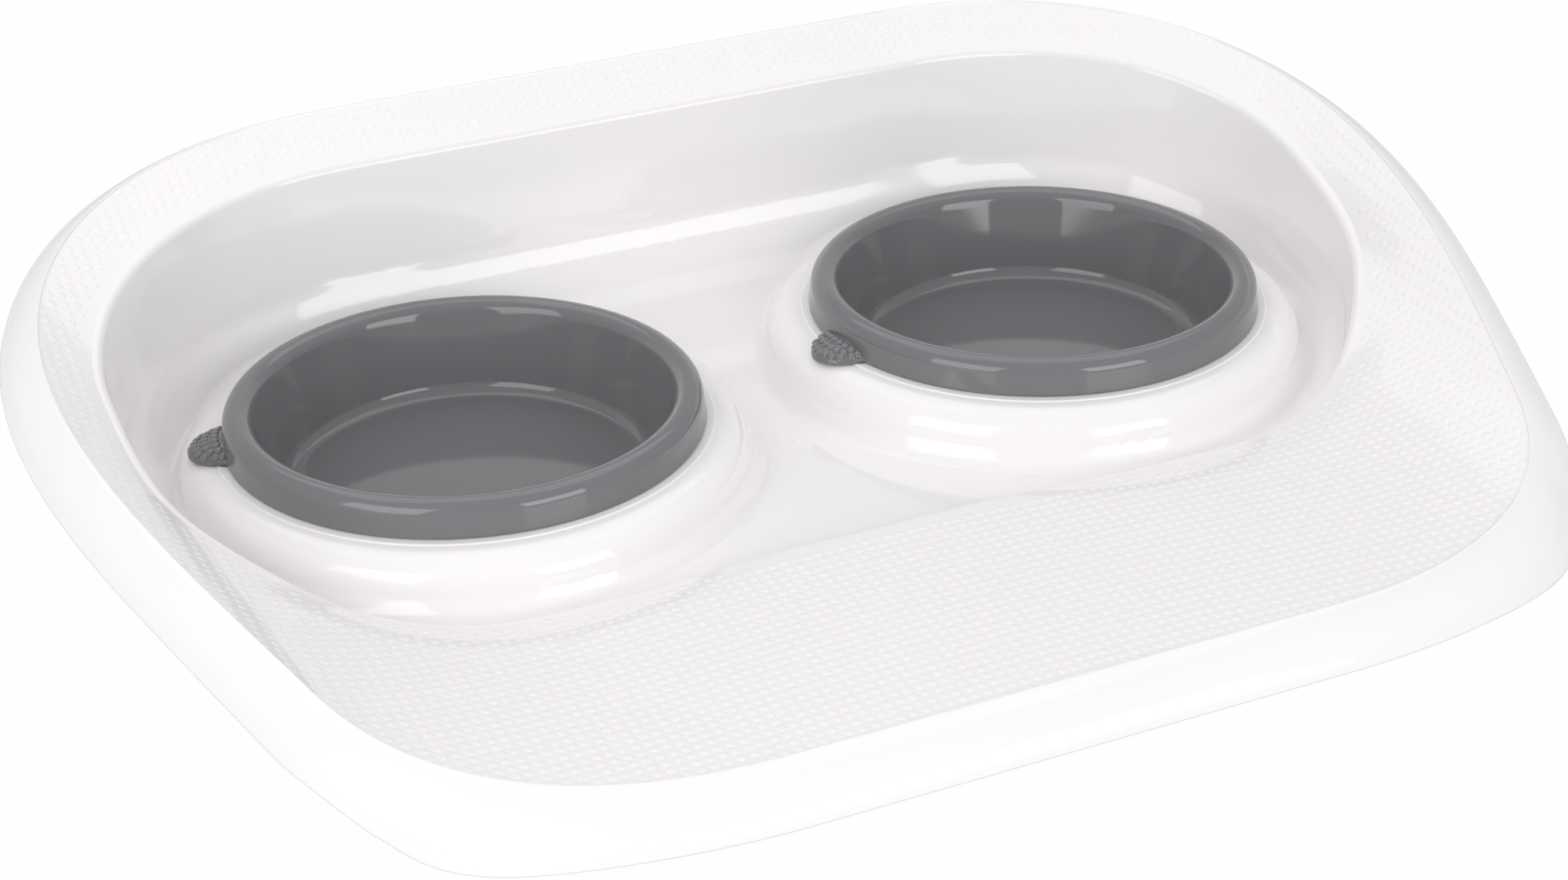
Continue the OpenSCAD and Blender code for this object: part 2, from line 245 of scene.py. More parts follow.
class Loft:
    """A surface drawn out ring by ring, by extruding its open edge and moving it."""

    def __init__(self, name: str, ring: Array, filled: bool = False) -> None:
        """Starts the surface with a ring of places in millimetres, which a face may close."""
        clear_selection()
        centre, reach = ring.mean(0), np.linalg.norm(ring - ring.mean(0), axis=1).max()
        bpy.ops.mesh.primitive_circle_add(
            vertices=len(ring), radius=reach * MM, location=Vector(centre * MM),
            fill_type="NGON" if filled else "NOTHING",
        )
        bpy.ops.object.transform_apply(location=True, rotation=False, scale=False)
        self.piece = bpy.context.active_object
        self.piece.name = self.piece.data.name = name
        bpy.ops.object.mode_set(mode="EDIT")
        bpy.ops.mesh.select_mode(type="VERT")
        bpy.ops.mesh.select_all(action="SELECT")
        mesh = bmesh.from_edit_mesh(self.piece.data)
        tag = mesh.verts.layers.int.new("ray")
        for i, v in enumerate(mesh.verts):
            v[tag] = i
        self.place(ring)

    def place(self, ring: Array) -> None:
        """Moves the selected ring to its places, given in millimetres."""
        mesh = bmesh.from_edit_mesh(self.piece.data)
        tag = mesh.verts.layers.int["ray"]
        for v in mesh.verts:
            if v.select:
                v.co = ring[v[tag]] * MM
        bmesh.update_edit_mesh(self.piece.data)

    def grow(self, ring: Array) -> None:
        """Extrudes the open edge and moves it to the next ring's places."""
        bpy.ops.mesh.extrude_region_move()
        self.place(ring)

    def keep_open(self, first: int) -> None:
        """Leaves only the stations below a number selected for the next rings."""
        mesh = bmesh.from_edit_mesh(self.piece.data)
        tag = mesh.verts.layers.int["ray"]
        for v in mesh.verts:
            if v.select and v[tag] >= first:
                v.select = False
        mesh.select_flush(False)
        bmesh.update_edit_mesh(self.piece.data)

    def close(self) -> None:
        """Fills the last ring with a face."""
        bpy.ops.mesh.edge_face_add()

    def done(self) -> Piece:
        """Leaves edit mode and returns the piece without its station numbers."""
        bpy.ops.object.mode_set(mode="OBJECT")
        layers = self.piece.data.attributes
        layers.remove(layers["ray"])
        return self.piece


def lathe(name: str, profile: Sequence[Pair], turns: int) -> Piece:
    """A round piece about the Z axis, drawn out of a circle by radius and height, ends closed."""
    way = np.linspace(0, 2 * math.pi, turns, endpoint=False)
    circle = np.stack([np.cos(way), np.sin(way), np.zeros(turns)], 1)
    rings = [circle * r + np.array([0, 0, z]) for r, z in profile]
    loft = Loft(name, rings[0], filled=True)
    for ring in rings[1:]:
        loft.grow(ring)
    loft.close()
    return loft.done()


# Materials


def linear(hex_colour: str) -> tuple[float, float, float, float]:
    """The linear and opaque colour of an sRGB value of six hex digits."""
    c = [int(hex_colour[i:i + 2], 16) / 255 for i in (0, 2, 4)]
    r, g, b = (v / 12.92 if v <= 0.04045 else ((v + 0.055) / 1.055) ** 2.4 for v in c)
    return (r, g, b, 1.0)


def add_node(
    tree: Tree, kind: str, links: dict[str, Socket] | None = None,
    inputs: dict[str, object] | None = None, **settings: object,
) -> Node:
    """Adds one node with its settings, input values and links.

    Args:
        tree: The node tree.
        kind: The node's type name, without "ShaderNode".
        links: Output sockets to link, by the name of the input.
        inputs: Values of inputs, by name.
        settings: Properties of the node.
    """
    node = tree.nodes.new("ShaderNode" + kind)
    for key, value in settings.items():
        setattr(node, key, value)
    for key, value in (inputs or {}).items():
        node.inputs[key].default_value = value
    for key, socket in (links or {}).items():
        tree.links.new(socket, node.inputs[key])
    return node


def fresh_material(name: str) -> tuple[bpy.types.Material, Tree, Node]:
    """A new material, its empty tree and its output node."""
    material = bpy.data.materials.new(name)
    material.use_nodes = True
    tree = material.node_tree
    tree.nodes.clear()
    return material, tree, add_node(tree, "OutputMaterial")


@dataclass(frozen=True)
class MouldedPlastic:
    """Moulded plastic or rubber: one even colour, its gloss and faint flow marks.

    The flow marks are a slow change of tone and gloss. A long low ripple bends the reflections.
    """

    name: str
    colour: str
    deep_colour: str
    roughness: float
    roughness_swing: float
    ior: float
    tone_mm: float
    ripple_mm: float
    ripple_height_mm: float
    grain_height_mm: float
    grain_mm: float = 0.9
    tone_span: Pair = (0.3, 0.7)

    def build(self) -> bpy.types.Material:
        """Makes the material."""
        material, tree, out = fresh_material(self.name)
        place = add_node(tree, "TexCoord").outputs["Object"]

        def noise(width_mm: float, detail: float, rough: float) -> Socket:
            """A soft noise whose waves are about so wide."""
            values = {"Scale": 1 / (width_mm * MM), "Detail": detail, "Roughness": rough}
            return add_node(tree, "TexNoise", {"Vector": place}, values).outputs["Fac"]

        def bump(height_mm: float, **links: Socket) -> Socket:
            """The face's normal, bent by a noise of so much height."""
            values = {"Strength": 1.0, "Distance": height_mm * MM}
            return add_node(tree, "Bump", links, values).outputs["Normal"]

        tone = noise(self.tone_mm, detail=2.0, rough=0.5)
        colour = add_node(tree, "Mix", {"Factor": tone}, data_type="RGBA")
        colour.inputs["A"].default_value = linear(self.colour)
        colour.inputs["B"].default_value = linear(self.deep_colour)
        gloss = add_node(
            tree, "MapRange", {"Value": tone},
            {"From Min": self.tone_span[0], "From Max": self.tone_span[1],
             "To Min": self.roughness - self.roughness_swing,
             "To Max": self.roughness + self.roughness_swing},
        ).outputs["Result"]
        ripple = noise(self.ripple_mm, detail=1.0, rough=0.4)
        grain = noise(self.grain_mm, detail=2.0, rough=0.6)
        wave = bump(self.ripple_height_mm, Height=ripple)
        face = bump(self.grain_height_mm, Height=grain, Normal=wave)
        shader = add_node(
            tree, "BsdfPrincipled",
            {"Base Color": colour.outputs["Result"], "Roughness": gloss, "Normal": face},
            {"IOR": self.ior},
        )
        tree.links.new(shader.outputs["BSDF"], out.inputs["Surface"])
        return material


# Glossy white polypropylene from a polished mould: bright, slightly warm, with crisp highlights.
TRAY_GLOSS = MouldedPlastic(
    name="white_moulded_polypropylene", colour="f7f4f4", deep_colour="f4f1f1", roughness=0.07,
    roughness_swing=0.015, ior=1.49, tone_mm=90, ripple_mm=60, ripple_height_mm=0.05,
    grain_height_mm=0.0012,
)
# The same plastic where the mould is spark-eroded: the dots scatter the light, so it is softer.
TRAY_DOTS = MouldedPlastic(
    name="white_textured_polypropylene", colour="f8f5f8", deep_colour="f5f2f6", roughness=0.22,
    roughness_swing=0.03, ior=1.49, tone_mm=70, ripple_mm=60, ripple_height_mm=0.03,
    grain_height_mm=0.004,
)
# Grey ABS from a polished mould, almost a mirror for the lamps.
BOWL_GLOSS = MouldedPlastic(
    name="grey_moulded_abs", colour="757678", deep_colour="717274", roughness=0.07,
    roughness_swing=0.015, ior=1.53, tone_mm=60, ripple_mm=45, ripple_height_mm=0.04,
    grain_height_mm=0.0006,
)
# Black rubber feet, matt from the mould, with fine pores.
FOOT_RUBBER = MouldedPlastic(
    name="black_moulded_rubber", colour="2b2b2d", deep_colour="232325", roughness=0.72,
    roughness_swing=0.06, ior=1.52, tone_mm=6, ripple_mm=8, ripple_height_mm=0.02,
    grain_height_mm=0.03, grain_mm=0.35,
)


# The tray


@dataclass(frozen=True)
class Outline:
    """One line of the tray in plan: a blunt egg, straight in the middle of its front and back."""

    half_width: float
    front_y: float
    back_y: float
    line_shares: Pair
    turn_shares: Pair
    wide_share: float
    taper_deg: float
    pulls: tuple[float, float, float, float, float, float]

    def half(self, counts: Sequence[int]) -> Array:
        """The right half, from the middle of the front to the middle of the back.

        Args:
            counts: Segments of the front, corner, side, back corner and back stretches.
        """
        length = self.back_y - self.front_y
        front_x, back_x = (self.half_width * s for s in self.line_shares)
        taper = math.radians(self.taper_deg)
        start = np.array([front_x, self.front_y])
        turn = np.array([self.half_width * self.turn_shares[0],
                         self.front_y + length * self.turn_shares[1]])
        turn_way = np.array([math.sin(taper), math.cos(taper)])
        wide = np.array([self.half_width, self.front_y + length * self.wide_share])
        last = np.array([back_x, self.back_y])
        along, up, home = np.array([1.0, 0]), np.array([0, 1.0]), np.array([-1.0, 0])
        k, n = self.pulls, counts

        def shares(count: int) -> Array:
            """Even shares from 0, without the last."""
            return np.arange(count) / count

        front = np.stack([front_x * shares(n[0]), np.full(n[0], self.front_y)], 1)
        rear_shares = np.arange(n[4] + 1) / n[4]
        rear = np.stack([back_x * (1 - rear_shares), np.full(n[4] + 1, self.back_y)], 1)
        return np.concatenate([
            front,
            bezier(start, along, turn, turn_way, k[0], k[1], shares(n[1])),
            bezier(turn, turn_way, wide, up, k[2], k[3], shares(n[2])),
            bezier(wide, up, last, home, k[4], k[5], shares(n[3])),
            rear,
        ])


def outwards(half: Array) -> Array:
    """The outward unit vector at each place of a right half outline."""
    mirror = np.array([-1.0, 1.0])
    line = np.concatenate([half[1:2] * mirror, half, half[-2:-1] * mirror])
    way = line[2:] - line[:-2]
    way /= np.linalg.norm(way, axis=1)[:, None]
    return np.stack([way[:, 1], -way[:, 0]], 1)


@dataclass
class FeedingTray:
    """The white moulding: rolled edge, textured rim and mat, dished basin and two mounds."""

    width: float = 457.6
    depth: float = 331.0
    wall: float = 2.4
    mat_height: float = 12.5
    mat_rise: float = 0.5
    rim_height: float = 85.0
    basin_edge_height: float = 76.0
    basin_hump: float = 0.32
    rim_hump: float = 0.12
    floor_height: float = 6.5
    lip_gap: float = 0.8
    lip_land: float = 0.7
    mat_depth: float = 95.7
    side_flange: float = 14.5
    back_flange: float = 20.5
    roll_width: float = 12.5
    front_roll_width: float = 14.5
    roll_height: float = 12.2
    roll_steps: int = 4
    roll_clear: float = 0.6
    edge_radius: float = 3.0
    back_floor_height: float = 19.0
    climb: Pair = (40.0, 130.0)
    climb_fade: Pair = (95.0, 195.0)
    climb_side_share: float = 0.3
    floor_fillet: float = 23.0
    wall_draft_deg: float = 6.5
    low_fillet_share: float = 0.5
    low_edge_share: float = 0.35
    least_wall: float = 0.1
    least_crown: float = 0.02
    corner_width: float = 3.2
    corner_width_share: float = 0.1
    corner_drop: float = 5.5
    corner_drop_share: float = 0.158
    front_shares: Pair = (0.1, 0.4)
    dip_depth: float = 2.0
    dip_width: float = 21.0
    dip_radius: float = 95.0
    dip_from: float = 13.0
    dip_fade: float = 22.0
    seat_bore: float = 69.0
    bore_chamfer: float = 0.35
    bore_land: float = 1.2
    ledge_radius: float = 74.7
    ledge_round: float = 0.4
    ledge_flat: float = 1.4
    ledge_climb: float = 1.3
    ledge_clear: float = 2.6
    mound_width: float = 11.0
    mound_power: float = 2.1
    mound_foot: float = 2.4
    mound_blend: float = 8.0
    mound_rows: int = 18
    floor_rows: int = 20
    floor_power: float = 1.8
    wall_room: float = 7.0
    wall_room_share: float = 0.25
    counts: tuple[int, int, int, int, int] = (27, 46, 27, 46, 20)
    middle_stations: int = 52
    mirror_merge: float = 0.02
    seam_merge: float = 0.01
    foot_diameter: float = 12.0
    foot_disc: float = 1.6
    feet: tuple[Pair, ...] = ((110.0, -120.0), (145.78, 100.37))
    post_bite: float = 0.1
    post_round: float = 0.4
    post_turns: int = 48
    gate_y: float = 14.5
    gate_radius: float = 1.35
    gate_turns: int = 28

    def __post_init__(self) -> None:
        """Works out the basin edge and the step line."""
        self.seat = np.array(SEAT)
        self.basin = Outline(
            half_width=self.width / 2 - self.roll_width - self.side_flange,
            front_y=-self.depth / 2 + self.front_roll_width + self.mat_depth,
            back_y=self.depth / 2 - self.roll_width - self.back_flange,
            line_shares=(0.525, 0.49), turn_shares=(0.944, 0.262), wide_share=0.56,
            taper_deg=33, pulls=(0.40, 0.41, 0.34, 0.36, 0.27, 0.52))
        self.step = Outline(
            half_width=self.width / 2 - self.roll_width,
            front_y=-self.depth / 2 + self.front_roll_width,
            back_y=self.depth / 2 - self.roll_width,
            line_shares=(0.37, 0.453), turn_shares=(0.855, 0.191), wide_share=0.628,
            taper_deg=18.5, pulls=(0.37, 0.40, 0.34, 0.32, 0.38, 0.47))
        self.half_in = self.basin.half(self.counts)
        self.half_step = self.step.half(self.counts)
        self.out_in, self.out_step = outwards(self.half_in), outwards(self.half_step)
        self.z_in = self.rise(self.half_in[:, 1], self.basin, self.mat_height,
                              self.basin_edge_height, self.basin_hump)
        self.z_step = self.rise(self.half_step[:, 1], self.step, self.mat_height + self.mat_rise,
                                self.rim_height, self.rim_hump)
        self.z_edge = self.z_in - self.dip(self.half_in)

    @staticmethod
    def rise(y: Array, line: Outline, low: float, high: float, hump: float) -> Array:
        """Heights of an outline as it climbs from front to back with a slight hump.

        Args:
            y: Places along Y.
            line: The outline they are on.
            low: Height at the front.
            high: Height at the back.
            hump: How much the middle stands above a straight climb.
        """
        u = (y - line.front_y) / (line.back_y - line.front_y)
        return low + (high - low) * (u + hump * u * (1 - u))

    def from_seat(self, xy: Array) -> Array:
        """Distance in plan from the nearer bowl's axis."""
        return np.hypot(np.abs(xy[:, 0]) - self.seat[0], xy[:, 1] - self.seat[1])

    def dip(self, xy: Array) -> Array:
        """Depth of the hollow in the mat round the front of each mound."""
        near = 1 - ease((self.from_seat(xy) - self.dip_radius) / self.dip_width)
        front = 1 - ease((xy[:, 1] - self.basin.front_y - self.dip_from) / self.dip_fade)
        return self.dip_depth * near * front

    def mound(self, r: Array) -> Array:
        """Height of a mound at a distance from its axis, falling below the floor outside it."""
        t = np.clip((r - self.ledge_radius) / self.mound_width, 0, 1)
        tall = LEDGE_HEIGHT - self.ledge_round - self.mat_height
        dome = self.mat_height + tall * (1 - t**self.mound_power) ** (1 / self.mound_power)
        past = np.clip(r - self.ledge_radius - self.mound_width, 0, None)
        return dome - past * (self.mat_height - self.floor_height) / self.mound_foot

    def floor(self, xy: Array) -> Array:
        """Height of the basin floor, which climbs behind the bowls, most of all in the middle."""
        start, end = self.climb
        near, far = self.climb_fade
        aside = ease((np.abs(xy[:, 0]) - near) / (far - near))
        up = (self.back_floor_height - self.floor_height) * (1 - self.climb_side_share * aside)
        return self.floor_height + up * ease((xy[:, 1] - start) / (end - start))

    def ground(self, xy: Array, lift: Array | float = 0.0) -> Array:
        """Heights of the floor and its mounds, which fall to the ledge that a skirt stands on.

        Args:
            xy: Places in plan.
            lift: How much the wall's fillet raises the floor there.
        """
        r = self.from_seat(xy)
        face = soft_max(self.floor(xy) + lift, self.mound(r), self.mound_blend)
        past = np.clip(r - self.ledge_radius, 0, None)
        shoulder = LEDGE_HEIGHT + self.ledge_clear + self.ledge_climb * past
        return -soft_max(-face, -shoulder, self.ledge_clear)

    def wall_foot(self) -> tuple[Array, Array, Array, Array]:
        """Where the basin wall starts.

        Returns:
            Its places, its fillet radius, its edge radius and how far it leans, at each station.
        """
        lean = math.tan(math.radians(self.wall_draft_deg))
        tall = np.clip(self.z_edge - self.floor(self.half_in), self.least_wall, None)
        top = np.minimum(self.edge_radius, tall * self.low_edge_share)
        low = np.minimum(self.floor_fillet, tall * self.low_fillet_share)
        draft = np.clip(tall - low, self.least_wall, None) * lean
        return self.half_in - self.out_in * (top + draft)[:, None], low, top, draft

    def basin_height(self, xy: Array, foot: Array, low: Array) -> Array:
        """Heights of the basin inside its wall: floor, mounds and the fillet at the wall.

        Args:
            xy: Places in plan.
            foot: The wall's foot at each station.
            low: The fillet radius at each station.
        """
        a, b = foot[:-1], foot[1:]
        span = b - a
        best = np.full(len(xy), np.inf)
        radius = np.zeros(len(xy))
        for i in range(len(a)):
            t = np.clip(((xy - a[i]) @ span[i]) / max(span[i] @ span[i], TINY), 0, 1)
            d = np.linalg.norm(xy - (a[i] + t[:, None] * span[i]), axis=1)
            near = d < best
            best = np.where(near, d, best)
            radius = np.where(near, low[i] + (low[i + 1] - low[i]) * t, radius)
        into = np.clip(radius - best, 0, None)
        return self.ground(xy, radius - np.sqrt(np.clip(radius**2 - into**2, 0, None)))

    def top_rings(self) -> tuple[list[Array], list[Array]]:
        """The right half's upper face: closed rings round the seat, and open ones to the lip."""
        foot, low, top, draft = self.wall_foot()
        m = self.middle_stations
        share = (1 - np.cos(np.pi * np.arange(1, m + 1) / (m + 1))) / 2
        line = np.stack([np.zeros(m), foot[-1, 1] + (foot[0, 1] - foot[-1, 1]) * share], 1)
        rings = self.seat_rings(np.concatenate([foot, line]), foot, low)
        base = rings[-1][:len(foot), 2]
        crown = np.maximum(self.z_edge - top, base + self.least_crown)
        outer = []
        for s in WALL_SHARES:
            xy = foot + self.out_in * (draft * s)[:, None]
            outer.append(np.column_stack([xy, base + (crown - base) * s]))
        for a in np.radians(EDGE_TURN_DEG):
            xy = self.half_in - self.out_in * (top * math.cos(a))[:, None]
            z = np.maximum(self.z_edge - top * (1 - math.sin(a)), base)
            outer.append(np.column_stack([xy, z]))
        for s in MAT_SHARES:
            xy = self.half_in + (self.half_step - self.half_in) * s
            z = self.z_in + (self.z_step - self.z_in) * s - self.dip(xy)
            outer.append(np.column_stack([xy, z]))
        for out, up in STEP_SECTION:
            outer.append(np.column_stack([self.half_step + self.out_step * out, self.z_step + up]))
        return rings, outer + self.roll_rings()

    def seat_rings(self, ends: Array, foot: Array, low: Array) -> list[Array]:
        """Rings round the seat, over its ledge and its mound and out to the end of the floor.

        Args:
            ends: The last ring's stations in plan: the wall's foot, then the middle of the tray.
            foot: The wall's foot at its stations.
            low: The fillet radius there.
        """
        length = np.linalg.norm(ends - self.seat, axis=1)
        way = (ends - self.seat) / length[:, None]

        def level(r: float, z: float) -> Array:
            """A round ring about the seat."""
            xy = self.seat + way * r
            return np.column_stack([xy, np.full(len(xy), z)])

        bore, rim, top = self.seat_bore, self.ledge_radius, LEDGE_HEIGHT
        cut, soft = self.bore_chamfer, self.ledge_round
        rings = [level(bore, top - cut), level(bore + cut, top), level(bore + self.bore_land, top),
                 level((bore + rim) / 2, top), level(rim - self.ledge_flat * soft, top)]
        rings += [level(rim - soft + soft * math.sin(a), top - soft + soft * math.cos(a))
                  for a in np.radians(LEDGE_TURN_DEG)]
        turn = np.radians(np.linspace(90, 0, self.mound_rows + 1)[1:])
        flank = np.concatenate([self.mound_width * np.cos(turn) ** (2 / self.mound_power),
                                self.mound_width + np.array(FLOOR_STEPS)])
        room = length - rim
        spare = np.minimum(self.wall_room, self.wall_room_share * room)
        fit = np.clip((room - spare) / flank[-1], 0, 1)
        stops = [rim + step * fit for step in flank]
        left = length - stops[-1]
        for s in np.linspace(0, 1, self.floor_rows + 1)[1:]:
            stops.append(length - left * (1 - s) ** self.floor_power)
        for r in stops:
            xy = self.seat + way * r[:, None]
            rings.append(np.column_stack([xy, self.basin_height(xy, foot, low)]))
        rings[-1][:, :2] = ends
        return rings

    def roll_rings(self) -> list[Array]:
        """Rings of the rolled edge, from the step to the lip."""
        y = self.half_step[:, 1]
        share = (y - self.step.front_y) / (self.step.back_y - self.step.front_y)
        low, high = self.front_shares
        front = 1 - ease((share - low) / (high - low))

        def bump(s: Array) -> Array:
            """A hump over shares from 0 to 1."""
            return np.where((s > 0) & (s < 1), np.sin(np.pi * np.clip(s, 0, 1)), 0)

        reach = (self.roll_width + (self.front_roll_width - self.roll_width) * front
                 + self.corner_width * bump(share / self.corner_width_share))
        drop = bump(share / self.corner_drop_share) ** 2 * self.corner_drop
        lip = np.maximum(self.lip_gap, self.z_step - self.roll_height - drop)
        rings = []
        top, end = self.z_step + STEP_SECTION[-1][1], lip + self.lip_land
        for w, h in through(ROLL_SHARES, self.roll_steps):
            if w * self.roll_width < self.roll_clear:
                continue
            xy = self.half_step + self.out_step * (reach * w)[:, None]
            rings.append(np.column_stack([xy, top + (end - top) * h]))
        rings += [np.column_stack([xy, lip + self.lip_land * s]) for s in (0.5, 0)]
        return rings

    def build(self) -> Piece:
        """Models the moulding: half of its upper face, mirrored and given its wall."""
        rings, outer = self.top_rings()
        loft = Loft("tray_moulding", rings[0])
        for ring in rings[1:]:
            loft.grow(ring)
        loft.keep_open(len(self.half_in))
        for ring in outer:
            loft.grow(ring)
        tray = loft.done()
        apply_modifier(tray, "MIRROR", use_axis=(True, False, False), use_clip=True,
                       merge_threshold=self.mirror_merge * MM)
        close_up(tray, merge=self.seam_merge)
        self.face_up(tray)
        apply_modifier(tray, "SOLIDIFY", thickness=self.wall * MM, offset=-1.0,
                       use_even_offset=False, use_quality_normals=True)
        return tray

    @staticmethod
    def face_up(tray: Piece) -> None:
        """Turns the open surface so that its upper face looks up."""
        up = sum(p.normal.z * p.area for p in tray.data.polygons)
        if up < 0:
            take(tray)
            bpy.ops.object.mode_set(mode="EDIT")
            bpy.ops.mesh.select_all(action="SELECT")
            bpy.ops.mesh.flip_normals()
            bpy.ops.object.mode_set(mode="OBJECT")

    def add_posts(self, tray: Piece) -> None:
        """Adds to the moulding the four posts that the rubber feet plug into."""
        posts = []
        for x, y in self.feet:
            top = (self.mat_height if y < 0 else LEDGE_HEIGHT) - self.wall + self.post_bite
            for side in Side:
                clear_selection()
                bpy.ops.mesh.primitive_cylinder_add(
                    vertices=self.post_turns, radius=self.foot_diameter / 2 * MM,
                    depth=(top - self.foot_disc) * MM,
                    location=(side.value * x * MM, y * MM, (top + self.foot_disc) / 2 * MM))
                bpy.ops.object.transform_apply(location=True, rotation=False, scale=False)
                post = bpy.context.active_object
                apply_modifier(post, "BEVEL", width=self.post_round * MM, segments=3,
                               limit_method="ANGLE")
                posts.append(post)
        join(tray, posts)

    def gate_mark(self) -> Piece:
        """Models the small round nub left by the mould's gate, on the floor between the mounds."""
        z = float(self.ground(np.array([[0.0, self.gate_y]]))[0])
        nub = lathe("gate_mark", [(self.gate_radius * s, h) for s, h in GATE_SECTION],
                    self.gate_turns)
        nub.data.transform(Matrix.Translation(Vector((0, self.gate_y * MM, z * MM))))
        close_up(nub)
        return nub


@dataclass
class GripDots:
    """The low raised dots that cover the rim and the mat, in square rows that follow the face."""

    tray: FeedingTray
    pitch: float = 3.675
    radius: float = 1.45
    height: float = 0.09
    sink: float = 0.05
    shoulder: Pair = (0.88, 0.72)
    flat_share: float = 0.68
    turns: int = 10
    edge_band: float = 3.2
    step_band: float = 0.5
    bend: float = 0.0004
    ray_start: float = 200.0
    least_up: float = 0.5

    def dot(self) -> Piece:
        """Models one dot: a low disc with a flat top and a soft edge."""
        out, up = self.shoulder
        profile = [(self.radius, -self.sink), (self.radius * out, self.height * up),
                   (self.radius * self.flat_share, self.height)]
        return lathe("dot_pattern", profile, self.turns)

    def lattice(self) -> Array:
        """Places in plan of every dot between the basin edge and the step line."""
        t = self.tray
        reach = int(max(t.width, t.depth) / self.pitch)
        line = np.arange(-reach, reach + 1) * self.pitch
        u, v = (grid.ravel() for grid in np.meshgrid(line, line))
        slope = (t.rim_height - t.mat_height) / (t.step.back_y - t.step.front_y)
        y = v / math.sqrt(1 + slope * slope)
        xy = np.stack([u, y - self.bend * u * u], 1)
        inside = self.inside(xy, t.half_step - t.out_step * self.step_band)
        basin = self.inside(xy, t.half_in + t.out_in * self.edge_band)
        return xy[inside & ~basin]

    @staticmethod
    def inside(xy: Array, half: Array) -> Array:
        """Whether places in plan lie inside the closed line that a right half outline makes."""
        line = np.concatenate([half, (half * np.array([-1.0, 1.0]))[-2:0:-1]])
        hit = np.zeros(len(xy), bool)
        nxt = np.roll(line, -1, axis=0)
        for (x1, y1), (x2, y2) in zip(line, nxt, strict=True):
            if y1 == y2:
                continue
            cross = (y1 > xy[:, 1]) != (y2 > xy[:, 1])
            at = x1 + (xy[:, 1] - y1) / (y2 - y1) * (x2 - x1)
            hit ^= cross & (xy[:, 0] < at)
        return hit

    def build(self, moulding: Piece) -> Piece:
        """Sets a copy of the dot on the moulding at every place of the lattice, as one piece."""
        one = self.dot()
        shape = np.array([v.co for v in one.data.vertices])
        faces = [tuple(p.vertices) for p in one.data.polygons]
        bpy.data.objects.remove(one)
        face = BVHTree.FromPolygons([v.co for v in moulding.data.vertices],
                                    [tuple(p.vertices) for p in moulding.data.polygons])
        points, polygons, down = [], [], Vector((0, 0, -1))
        for x, y in self.lattice():
            above = Vector((x * MM, y * MM, self.ray_start * MM))
            spot, normal = face.ray_cast(above, down)[:2]
            if spot is None or normal.z < self.least_up:
                continue
            turn = np.array(normal.to_track_quat("Z", "Y").to_matrix())
            start = len(points) * len(shape)
            points.append(shape @ turn.T + np.array(spot))
            polygons += [tuple(i + start for i in p) for p in faces]
        mesh = bpy.data.meshes.new("grip_dots")
        mesh.from_pydata(np.concatenate(points).tolist(), [], polygons)
        piece = put("grip_dots", mesh)
        take(piece)
        bpy.ops.object.shade_smooth()
        LOG.info("grip dots: %d", len(points))
        return piece


